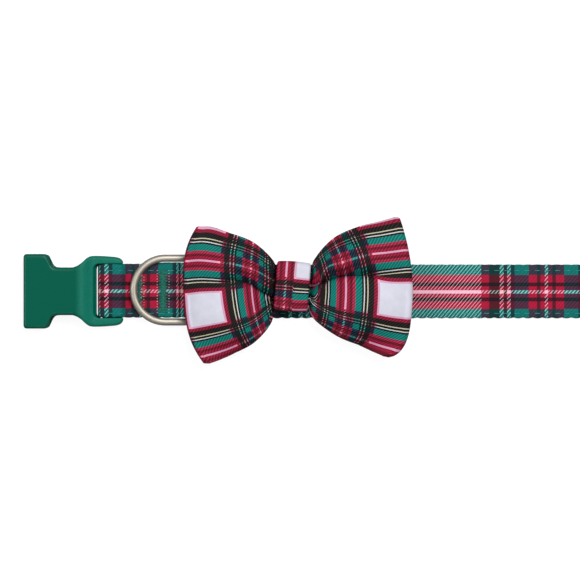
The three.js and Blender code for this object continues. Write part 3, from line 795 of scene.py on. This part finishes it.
# A wing's middle surface. Front: two lobes across each rib, a power of a sine each, with the fold between
# them. Near the knot the lobes roll down, the lower one is lower and hollow, and the cloth dips under in
# pleats. Back: level. Both end level in a half round. Rows go from the knot out along the front and in along
# the back.
def wingPoints(bow, wing):
    v = np.linspace(0, 1, bow["acrossSteps"] + 1)[None, :]
    front = np.linspace(0, 1, bow["frontSteps"] + 1)
    turn = np.linspace(0, 1, bow["turnSteps"] + 1)[1:-1]
    back = np.linspace(1, 0, bow["backSteps"] + 1)
    u = np.concatenate([front, np.ones(len(turn)), back])[:, None]
    columns = smoothRows(wing["ribs"], u[:, 0]).T[:, :, None]
    topX, topY, lowX, lowY, bulge, edge, ridge, fold, behind, foldAt = columns
    bowed = 1 - np.abs(2 * v ** wing["skew"] - 1) ** wing["fullness"]
    x = lowX + (topX - lowX) * v + bulge * bowed
    onBack = np.concatenate([np.zeros(len(front)), turn, np.ones(len(back))])[:, None]
    inset = bow["backInset"] * (1 - u) * onBack + bow["thickness"] / 2
    y = lowY + inset + (topY - lowY - 2 * inset) * v
    below = v < foldAt
    lobe = np.where(below, v / foldAt, (1 - v) / (1 - foldAt))
    lean = 1 + bow["lean"] * bell(u, bow["leanReach"])
    rolled = np.clip(lobe, 0, 1) ** np.where(below, 1 / lean, lean)
    puff = np.clip(np.sin(math.pi * rolled), 0, 1) ** (bow["lobePower"][0] + bow["lobePower"][1] * u)
    puff = puff * (1 - wing["lowerDrop"] * below * bell(u, bow["dropReach"]))
    crease = bell(v - foldAt, np.where(below, *bow["creaseWidth"]))
    crease = crease * bell(u - wing["creaseAt"], wing["creaseReach"])
    hollow, hollowAt, hollowReach = wing["hollow"]
    sunk = below * np.sin(math.pi * lobe) * bell(u - hollowAt, hollowReach)
    pleats = np.cos(2 * math.pi * bow["pleats"] * (v - wing["tuckAt"])) * bell(u, bow["pleatReach"])
    high = edge + (fold - edge) * lobe + (ridge - (edge + fold) / 2) * puff - bow["creaseDepth"] * crease
    high = high - bow["diveDepth"] * bell(u, bow["diveReach"]) - hollow * sunk - bow["pleatDepth"] * pleats
    last = bow["frontSteps"]
    level = last * (1 - u) * bell(1 - u, bow["levelReach"])
    high = high + level * (high[last] - high[last - 1])
    behind = behind + level * (behind[last] - behind[last - 1])
    angle = math.pi * (0.5 - onBack)
    z = (high + behind) / 2 + (high - behind) / 2 * np.sin(angle)
    inwards = (bow["foldRadius"] + bow["thickness"] / 2) * u ** bow["drawIn"]
    reach = bow["foldRadius"] * np.cos(angle) - inwards
    return np.stack([x + wing["side"] * reach, y, z], axis=-1), u, foldAt


# Cloth coordinates of a wing in mm from the middle of its white square: run along the middle ribs, and
# distance across them, where a pleat at the knot and the fold further out each take in some of the cloth.
# Stripes that run across fan out from the fold by a power of the distance, most in the middle of the wing.
def wingCloth(bow, wing, points, share, foldAt, half):
    middle = points[:, bow["acrossSteps"] // 3:bow["acrossSteps"] // 2].mean(axis=1)
    run = runAlong(middle)
    pink = np.interp(abs(wing["pinkAt"]), np.abs(middle[:bow["frontSteps"], 0]), run[:bow["frontSteps"]])
    u = wing["side"] * (run - pink - half)[:, None]
    v = np.linspace(0, 1, bow["acrossSteps"] + 1)[None, :]
    spread = np.interp(v, [0, wing["whiteAt"], 1], [-wing["below"], 0, wing["above"]])
    tuck = [0, wing["tuckAt"] - bow["tuckWidth"], wing["tuckAt"] + bow["tuckWidth"], 1]
    gathered = np.interp(v, tuck, wing["atKnot"])
    nearKnot = bell(share, wing["tuckReach"], wing["tuckPower"])
    across = spread + (gathered - spread) * nearKnot
    sharp, wide = bow["swallowWidth"]
    away = v - foldAt
    taken = np.where(away < 0, *wing["swallow"]) * np.tanh(away / sharp) * np.exp(-np.abs(away) / wide)
    across = across + taken * bell(share - wing["swallowAt"], wing["swallowReach"])
    fromFold = np.where(away < 0, away / foldAt, away / (1 - foldAt))
    fan = np.where(away < 0, *wing["fan"]) * np.abs(fromFold) ** bow["fanPower"] * 4 * share * (1 - share)
    return np.stack([u + wing["side"] * fan, across], axis=-1)


# A cloth band in a loop: its middle surface moved half a thickness out and in, with round hems at both edges.
def bandObject(name, middle, cloth, thickness):
    along = np.roll(middle, -1, axis=0) - np.roll(middle, 1, axis=0)
    across = np.gradient(middle, axis=1)
    out = unit(np.cross(along, across))
    hem = unit(across) * thickness / 2
    outer, inner = middle + out * thickness / 2, middle - out * thickness / 2
    lastHem, firstHem = middle[:, -1:] + hem[:, -1:], middle[:, :1] - hem[:, :1]
    points = np.concatenate([outer, lastHem, inner[:, ::-1], firstHem], axis=1)
    uv = np.concatenate([cloth, cloth[:, -1:], cloth[:, ::-1], cloth[:, :1], cloth[:, :1]], axis=1)
    uv = np.concatenate([uv, uv[:1]])
    return gridObject(name, points, uv, closeRows=True, closeColumns=True)


halfSett = sum(row[0] for row in bowTartan["crosswise"])
rightPoints, *rightPlace = wingPoints(bow, bow["right"])
leftPoints, *leftPlace = wingPoints(bow, bow["left"])
rightCloth = wingCloth(bow, bow["right"], rightPoints, *rightPlace, halfSett)
leftCloth = wingCloth(bow, bow["left"], leftPoints, *leftPlace, halfSett)
loopPoints = np.concatenate([rightPoints, leftPoints[::-1]])
loopCloth = np.concatenate([rightCloth, leftCloth[::-1]])
bowPiece = bandObject("bowLoopCloth", loopPoints, loopCloth, bow["thickness"])
finishPiece(bowPiece, "collar", "bow_cloth", bowMaterial, "bow_loops")
print("bow loops made")

# Knot: a band of the same cloth wrapped round the gathered middle, its two edges drawn in.
knot = {
    "length": 12.7, "halfHeight": 9.4, "middleY": 1.85, "low": 2.0, "high": 11.5, "turn": -4.4, "corner": 2.8,
    "waist": 0.35, "thickness": 1.2, "steps": 48, "cornerSteps": 10, "flatSteps": 14,
    "pleatAt": 0.3, "pleatWidth": 0.5, "pleatRise": 0.35,
    "topShare": 1 / 3,  # share of the height that the pleat reaches down
    "pinkAt": -2.6, "whiteAt": 7.45, "rowLeft": -1.85, "rowRight": -1.2, "rowScale": 1.1,
    "flat": (0.0127, 0.052),  # in m
}
roundest = 0.95  # share of a rectangle's half width or height that its corners may take


# Rounded rectangles in the Y-Z plane, one for each x: four corner arcs, each followed by points on a flat.
def roundedRings(x, middle, halfWidth, low, high, radius, cornerSteps, flatSteps=1):
    table = np.broadcast_arrays(*np.atleast_1d(x, middle, halfWidth, low, high, radius))
    x, middle, halfWidth, low, high, radius = (column[:, None].astype(float) for column in table)
    radius = np.minimum(radius, roundest * np.minimum(halfWidth, (high - low) / 2))
    corner = np.repeat(np.arange(4), cornerSteps + flatSteps)
    bend = np.tile(np.concatenate([np.linspace(0, 1, cornerSteps + 1), np.ones(flatSteps - 1)]), 4)
    share = np.tile(np.concatenate([np.zeros(cornerSteps + 1), np.arange(1, flatSteps) / flatSteps]), 4)
    angle = (corner - 1 + bend) * math.pi / 2
    sideY, sideZ = np.array([1, 1, -1, -1]), np.array([-1, 1, 1, -1])
    nextCorner = (corner + 1) % 4
    cornerY, cornerZ = (side[corner] * (1 - share) + side[nextCorner] * share for side in (sideY, sideZ))
    y = middle + (halfWidth - radius) * cornerY
    z = (low + high) / 2 + ((high - low) / 2 - radius) * cornerZ
    return np.stack([x + 0 * y, y + radius * np.cos(angle), z + radius * np.sin(angle)], axis=-1)


# The knot's rings lie side by side along the strap. A pleat across its top steps down to the left, and the
# cloth on its two sides shows different stretches of the pattern.
def knotObject(knot, half):
    along = np.linspace(-1, 1, knot["steps"] + 1)
    inset = knot["thickness"] / 2
    draw = inset + knot["waist"] * along ** 2
    rings = roundedRings(along * (knot["length"] / 2 - inset), knot["middleY"], knot["halfHeight"] - draw,
                         knot["low"] + inset, knot["high"] - draw, knot["corner"] - inset,
                         knot["cornerSteps"], knot["flatSteps"])
    x = rings[..., 0]
    height = (rings[..., 2] - knot["low"]) / (knot["high"] - knot["low"])
    front = np.clip(1 - (1 - height) / knot["topShare"], 0, 1)
    step = np.clip((x - knot["pleatAt"]) / knot["pleatWidth"], 0, 1)
    rings[..., 2] -= front * knot["pleatRise"] * (1 - smoothStep(step))
    top = np.argmax(rings[0, :, 1] + rings[0, :, 2])
    run = runAlong(rings[0])
    left = x < knot["pleatAt"] + knot["pleatWidth"] / 2
    u = np.where(left, x - knot["pinkAt"] + half, x - knot["whiteAt"])
    v = knot["rowScale"] * (run[top] - run)[None, :] + np.where(left, knot["rowLeft"], knot["rowRight"])
    cloth = np.stack([u, v], axis=-1).transpose(1, 0, 2)
    turn = math.radians(knot["turn"])
    turned = np.stack([x * math.cos(turn) - rings[..., 1] * math.sin(turn),
                       x * math.sin(turn) + rings[..., 1] * math.cos(turn), rings[..., 2]], axis=-1)
    return bandObject("bowKnotCloth", turned.transpose(1, 0, 2), cloth, knot["thickness"])


knotPiece = knotObject(knot, halfSett)
finishPiece(knotPiece, "collar", "bow_cloth", bowMaterial, "bow_knot")
print("knot made")

# Socket half of the buckle. Columns of a section: distance from the mouth, half width, bottom and top.
socket = {
    "mouth": -100.2,
    "sections": [
        (0, 13.05, 0.8, 8.2), (0.4, 13.7, 0.2, 8.8), (1.2, 13.93, 0, 9), (7.5, 13.93, 0, 9),
        (8.4, 13.45, 0, 9), (9.2, 12.1, 0, 9), (10.3, 9.9, 0, 9), (11.4, 9.1, 0, 9), (13.2, 8.95, 0, 9),
        (18, 8.95, 0, 9), (20, 9.55, 0, 9), (21.8, 10.75, 0, 8.8), (23.4, 12.25, 0.1, 8.1),
        (25, 13.12, 0.2, 7.2), (26.6, 13.25, 0.3, 6.7), (34, 12.85, 0.3, 6.6), (35.8, 12.4, 0.4, 6.5),
        (36.8, 11.6, 0.7, 6.2), (37.2, 10.9, 1.2, 5.7),
    ],
    "lip": 0.9,  # lower plate's shoulder stands out this much past the upper one's
    "shoulder": (8.0, 15.0),
    "plate": 1.7,
    "cavity": (-101.6, -80.1, 12.2, 1.7, 7.3),  # start, end, half width, bottom and top
    "opening": (-72.95, -60.0),
    "wallLean": (-1.2, 0.0),
    "bar": (-70.6, -63.6),
    "ledge": (-76.2, -73.05),
}
# Plug half: the same columns, counted from its strap end.
plug = {
    "start": 228.0,
    "sections": [
        (0, 11.2, 1.2, 5.7), (0.4, 12.1, 0.7, 6.2), (1.4, 12.9, 0.4, 6.5), (3, 13.35, 0.3, 6.6),
        (10.4, 13.35, 0.3, 6.7), (12.6, 13.8, 0.1, 8.1), (14.6, 14.1, 0, 9), (15.4, 13.7, 0.4, 8.6),
    ],
    "prong": [  # distance from the frame, inner and outer side
        (-1, 8.4, 11.3), (8.8, 8.55, 11.35), (9.6, 8.6, 13.1), (11.2, 8.62, 13.5), (14.5, 8.65, 12.6),
        (17, 8.7, 10.6), (18, 8.9, 9.5),
    ],
    "guide": [(-1, 3.3), (12.5, 2.8), (14.5, 2.4), (15.5, 1.4)],  # distance from the frame, half width
    "prongStart": 242.4,
    "prongZ": (2.3, 6.7),
    "opening": (225.0, 237.5),
    "wallLean": (0.0, 1.05),
    "bar": (228.0, 235.0),
}
# What both halves' moulds share.
mould = {
    "corner": 1.3, "cornerSteps": 6, "perRow": 5,  # perRow: sections made from one row of a table to the next
    "slotHalf": 10.15, "slotMiddle": 0.14, "slotZ": (-1.0, 1.0, 6.7, 10.0), "slotCorner": 2.0,
    "barThickness": 2.5, "barHeight": 3.2, "barFlat": 0.01, "barOverlap": 1.0,
    "voxel": 0.26, "relax": 5, "relaxShare": 0.5,
}


# Rows between a table's rows: every column is a smooth function of the first, and never swings past its rows.
def sectionRows(rows, perRow):
    rows = np.asarray(rows, dtype=float)
    gap = np.diff(rows[:, :1], axis=0)
    rise = np.diff(rows, axis=0) / gap
    product = rise[:-1] * rise[1:]
    slope = np.where(product > 0, 2 * product / np.where(product > 0, rise[:-1] + rise[1:], 1), 0)
    slope = np.concatenate([rise[:1], slope, rise[-1:]])
    t = np.linspace(0, 1, perRow, endpoint=False)[None, :, None]
    start, end, gap = rows[:-1, None], rows[1:, None], gap[:, None]
    curve = (start + (end - start) * smoothStep(t) + gap * slope[:-1, None] * t * (1 - t) ** 2
             - gap * slope[1:, None] * t * t * (1 - t))
    return np.concatenate([curve.reshape(-1, rows.shape[1]), rows[-1:]])


# A solid through rounded rectangles that follow the curves of a table of sections.
def sectionSolid(name, rows, startX=0.0):
    along, halfWidth, low, high, *middle = sectionRows(rows, mould["perRow"]).T
    rings = roundedRings(startX + along, middle[0] if middle else 0, halfWidth, low, high, mould["corner"],
                         mould["cornerSteps"])
    return gridObject(name, rings, closeColumns=True, capRows=True, scale=1.0)


# The bar that the strap turns round: a flat section with round edges, carried across the frame.
def barSolid(name, start, end):
    half = mould["barThickness"] / 2
    reach = mould["slotHalf"] + mould["barOverlap"]
    rings = roundedRings([-reach, reach], (start + end) / 2, (end - start) / 2, mould["barHeight"] - half,
                         mould["barHeight"] + half, half - mould["barFlat"], mould["cornerSteps"])
    return gridObject(name, rings[..., [1, 0, 2]], closeColumns=True, capRows=True, scale=1.0)


# The strap slot: a rounded rectangle from above, whose wall by the grip leans back above its lowest part.
def slotHollow(opening, wallLean):
    levels = np.array(mould["slotZ"])
    lean = np.clip((levels - levels[1]) / (levels[2] - levels[1]), 0, None)
    start, end = (side + move * lean for side, move in zip(opening, wallLean))
    low, high = mould["slotMiddle"] - mould["slotHalf"], mould["slotMiddle"] + mould["slotHalf"]
    rings = roundedRings(levels, (start + end) / 2, (end - start) / 2, low, high, mould["slotCorner"],
                         mould["cornerSteps"])
    return gridObject("slot", rings[..., [1, 2, 0]], closeColumns=True, capRows=True, scale=1.0)


# One moulded piece: solids joined and hollows cut in turn, then an even skin relaxed to round the edges.
def mouldedObject(name, base, steps):
    for operation, other in steps:
        cut = base.modifiers.new(operation, "BOOLEAN")
        cut.object = other
        cut.operation = operation
        cut.solver = "EXACT"
    skin = base.modifiers.new("skin", "REMESH")
    skin.mode = "VOXEL"
    skin.voxel_size = mould["voxel"]
    soften = base.modifiers.new("soften", "SMOOTH")
    soften.iterations = mould["relax"]
    soften.factor = mould["relaxShare"]
    mesh = bpy.data.meshes.new_from_object(base.evaluated_get(bpy.context.evaluated_depsgraph_get()))
    vertices = np.empty(3 * len(mesh.vertices))
    mesh.vertices.foreach_get("co", vertices)
    mesh.vertices.foreach_set("co", vertices * mm)
    mesh.polygons.foreach_set("use_smooth", np.ones(len(mesh.polygons), dtype=bool))
    mesh.update()
    for helper in [base, *(other for operation, other in steps)]:
        bpy.data.objects.remove(helper)
    return addObject(name, mesh)


upperRows = [(along, half, low + socket["plate"], high) for along, half, low, high in socket["sections"]]
shoulderFrom, shoulderTo = socket["shoulder"]
lowerRows = [(along + socket["lip"] * (shoulderFrom < along < shoulderTo), half, low, high - socket["plate"])
             for along, half, low, high in socket["sections"]]
cavityStart, cavityEnd, *cavitySize = socket["cavity"]
socketPiece = mouldedObject("socketShell", sectionSolid("upper", upperRows, socket["mouth"]), [
    ("UNION", sectionSolid("lower", lowerRows, socket["mouth"])),
    ("DIFFERENCE", sectionSolid("cavity", [(cavityStart, *cavitySize), (cavityEnd, *cavitySize)])),
    ("DIFFERENCE", slotHollow(socket["opening"], socket["wallLean"])),
    ("UNION", barSolid("bar", *socket["bar"])),
    ("UNION", barSolid("ledge", *socket["ledge"])),
])
finishPiece(socketPiece, "collar", "buckle", acetal, "buckle_socket")
print("socket moulded:", len(socketPiece.data.polygons), "faces")

prongLow, prongHigh = plug["prongZ"]
prongs = [sectionSolid("prong", [(along, (outer - inner) / 2, prongLow, prongHigh, side * (inner + outer) / 2)
                                 for along, inner, outer in plug["prong"]], plug["prongStart"])
          for side in (-1, 1)]
guideRows = [(along, half, prongLow, prongHigh) for along, half in plug["guide"]]
guide = sectionSolid("guide", guideRows, plug["prongStart"])
plugPiece = mouldedObject("plugFrame", sectionSolid("frame", plug["sections"], plug["start"]), [
    ("DIFFERENCE", slotHollow(plug["opening"], plug["wallLean"])),
    *(("UNION", solid) for solid in (barSolid("bar", *plug["bar"]), guide, *prongs)),
])
finishPiece(plugPiece, "collar", "buckle", acetal, "buckle_plug")
print("plug moulded:", len(plugPiece.data.polygons), "faces")
